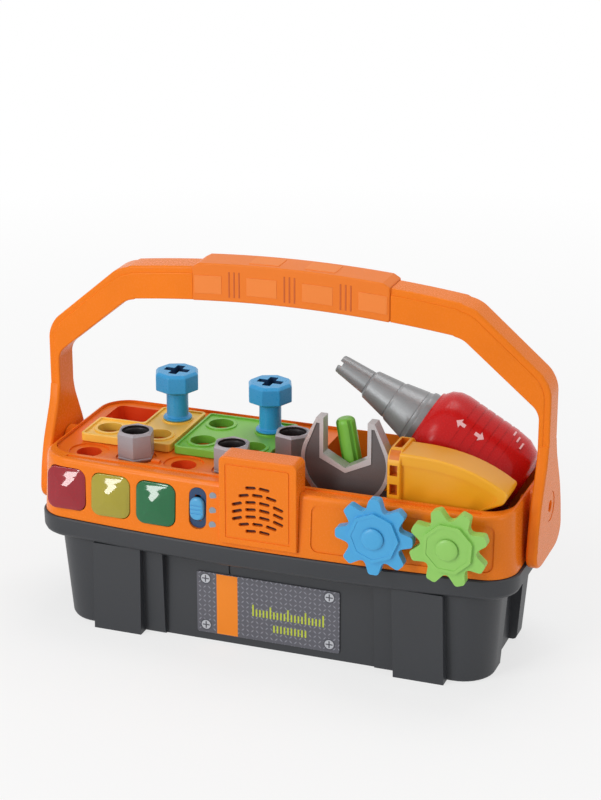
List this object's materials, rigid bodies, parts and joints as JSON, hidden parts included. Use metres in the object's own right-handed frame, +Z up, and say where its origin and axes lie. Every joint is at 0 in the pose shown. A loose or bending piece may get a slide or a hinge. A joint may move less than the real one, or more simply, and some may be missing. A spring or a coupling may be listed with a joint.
{
  "type": "toy tool box",
  "caption": "Open toy tool box with a folding carry handle, project deck with plates and toy screws, light buttons, a pair of meshing gears and a bin of loose play tools.",
  "frame": {"origin": "on the flat underside of the tub, in the middle of the box", "axes": "+X along the box to the right, +Y to the back, +Z up; the lights and gears face -Y"},
  "size_m": [0.34, 0.1397, 0.246],
  "materials": {
    "orange_plastic": "fine moulded satin, lightly worn edges",
    "charcoal_plastic": "satin moulded",
    "red_plastic": "semi-gloss moulded",
    "blue_plastic": "satin moulded",
    "light_blue_plastic": "satin moulded",
    "light_green_plastic": "satin moulded",
    "yellow_plastic": "satin moulded",
    "green_plastic": "satin moulded",
    "grey_plastic": "satin, metallic-looking grey",
    "dark_grey_plastic": "satin with worn pale edges",
    "lens_red": "translucent gloss",
    "lens_yellow": "translucent gloss",
    "lens_green": "translucent gloss",
    "label_grey": "printed film",
    "board_green": "coated board",
    "lamp_white": "clear lens",
    "steel": "plated"
  },
  "bodies": {
    "tool_box": {"base_tub": "charcoal_plastic", "battery_door": "charcoal_plastic", "battery_door_screw": "steel", "battery_box": "charcoal_plastic", "battery_1": "steel", "battery_2": "steel", "battery_3": "steel", "battery_contact_left": "steel", "battery_contact_right": "steel", "main_board": "board_green", "case_screw_front_left": "steel", "case_screw_front_right": "steel", "case_screw_back_left": "steel", "case_screw_back_right": "steel", "label_plate": "label_grey", "tray_shell": "orange_plastic", "project_deck": "orange_plastic", "speaker_cover": "orange_plastic", "speaker": "steel", "lamp_board": "board_green", "slide_switch": "steel", "lamp_red": "lamp_white", "lamp_yellow": "lamp_white", "lamp_green": "lamp_white", "gear_axle_left": "light_blue_plastic", "gear_axle_right": "light_green_plastic", "pivot_pin_left": "orange_plastic", "pivot_pin_right": "orange_plastic"},
    "carry_handle": {"handle_frame": "orange_plastic", "handle_grip": "orange_plastic"},
    "red_button": {"light_button_red": "lens_red"},
    "yellow_button": {"light_button_yellow": "lens_yellow"},
    "green_button": {"light_button_green": "lens_green"},
    "switch_knob": {"slide_knob": "blue_plastic"},
    "blue_gear": {"gear_blue": "light_blue_plastic"},
    "green_gear": {"gear_green": "light_green_plastic"},
    "yellow_play_plate": {"yellow_plate": "yellow_plastic"},
    "green_play_plate": {"green_plate": "green_plastic"},
    "left_screw": {"toy_screw_left": "blue_plastic"},
    "right_screw": {"toy_screw_right": "blue_plastic"},
    "left_nut": {"toy_nut_left": "grey_plastic"},
    "middle_nut": {"toy_nut_middle": "grey_plastic"},
    "right_nut": {"toy_nut_right": "grey_plastic"},
    "toy_wrench": {"wrench": "dark_grey_plastic"},
    "toy_screwdriver": {"screwdriver_blade": "light_green_plastic", "screwdriver_grip": "orange_plastic"},
    "toy_hammer": {"hammer_head": "yellow_plastic", "hammer_grip": "blue_plastic"},
    "toy_drill": {"drill_shell_near": "red_plastic", "drill_shell_far": "red_plastic", "drill_gearbox": "charcoal_plastic", "drill_motor": "steel", "drill_battery_1": "steel", "drill_battery_2": "steel", "drill_battery_door": "charcoal_plastic"},
    "bit": {"drill_bit": "grey_plastic"},
    "trigger": {"drill_trigger": "charcoal_plastic"},
    "selector": {"drill_selector": "charcoal_plastic"}
  },
  "joints": [
    {"name": "handle_fold", "type": "hinge", "parent": "tool_box", "child": "carry_handle", "pos_m": [0, 0, 0.106], "axis": [1, 0, 0], "range_deg": [-90, 90]},
    {"name": "press_red", "type": "slide", "parent": "tool_box", "child": "red_button", "axis": [0, 1, 0], "range_m": [0, 0.0015], "stiffness_N_per_m": 300},
    {"name": "press_yellow", "type": "slide", "parent": "tool_box", "child": "yellow_button", "axis": [0, 1, 0], "range_m": [0, 0.0015], "stiffness_N_per_m": 300},
    {"name": "press_green", "type": "slide", "parent": "tool_box", "child": "green_button", "axis": [0, 1, 0], "range_m": [0, 0.0015], "stiffness_N_per_m": 300},
    {"name": "switch_slide", "type": "slide", "parent": "tool_box", "child": "switch_knob", "axis": [0, 0, 1], "range_m": [-0.0045, 0.0045]},
    {"name": "gear_blue_spin", "type": "hinge", "parent": "tool_box", "child": "blue_gear", "pos_m": [0.0782, -0.0685, 0.1015], "axis": [0, -1, 0], "continuous": true},
    {"name": "gear_green_spin", "type": "hinge", "parent": "tool_box", "child": "green_gear", "pos_m": [0.1256, -0.0685, 0.1015], "axis": [0, -1, 0], "continuous": true},
    {"name": "yellow_plate_lift", "type": "slide", "parent": "tool_box", "child": "yellow_play_plate", "axis": [0, 0, 1], "range_m": [0, 0.04]},
    {"name": "green_plate_lift", "type": "slide", "parent": "tool_box", "child": "green_play_plate", "axis": [0, 0, 1], "range_m": [0, 0.04]},
    {"name": "left_screw_lift", "type": "slide", "parent": "yellow_play_plate", "child": "left_screw", "axis": [0, 0, 1], "range_m": [0, 0.04]},
    {"name": "right_screw_lift", "type": "slide", "parent": "green_play_plate", "child": "right_screw", "axis": [0, 0, 1], "range_m": [0, 0.04]},
    {"name": "left_nut_lift", "type": "slide", "parent": "tool_box", "child": "left_nut", "axis": [0, 0, 1], "range_m": [0, 0.04]},
    {"name": "middle_nut_lift", "type": "slide", "parent": "tool_box", "child": "middle_nut", "axis": [0, 0, 1], "range_m": [0, 0.04]},
    {"name": "right_nut_lift", "type": "slide", "parent": "tool_box", "child": "right_nut", "axis": [0, 0, 1], "range_m": [0, 0.04]},
    {"name": "wrench_lift", "type": "slide", "parent": "tool_box", "child": "toy_wrench", "axis": [0, 0, 1], "range_m": [0, 0.115]},
    {"name": "screwdriver_lift", "type": "slide", "parent": "tool_box", "child": "toy_screwdriver", "axis": [-0.1822, 0, 0.9833], "range_m": [0, 0.1]},
    {"name": "hammer_lift", "type": "slide", "parent": "tool_box", "child": "toy_hammer", "axis": [0, 0, 1], "range_m": [0, 0.115]},
    {"name": "drill_lift", "type": "slide", "parent": "tool_box", "child": "toy_drill", "axis": [0, 0.47, 0.8827], "range_m": [0, 0.07]},
    {"name": "drill_bit_spin", "type": "hinge", "parent": "toy_drill", "child": "bit", "pos_m": [0.0241, 0.017, 0.1776], "axis": [0.8686, 0, -0.4955], "continuous": true},
    {"name": "drill_trigger_pull", "type": "slide", "parent": "toy_drill", "child": "trigger", "axis": [0.8686, 0, -0.4955], "range_m": [0, 0.0035], "stiffness_N_per_m": 300},
    {"name": "drill_selector_slide", "type": "slide", "parent": "toy_drill", "child": "selector", "axis": [0.8686, 0, -0.4955], "range_m": [-0.003, 0.003]}
  ],
  "couplings": [
    {"joint": "gear_green_spin", "follows": "gear_blue_spin", "ratio": -1}
  ]
}
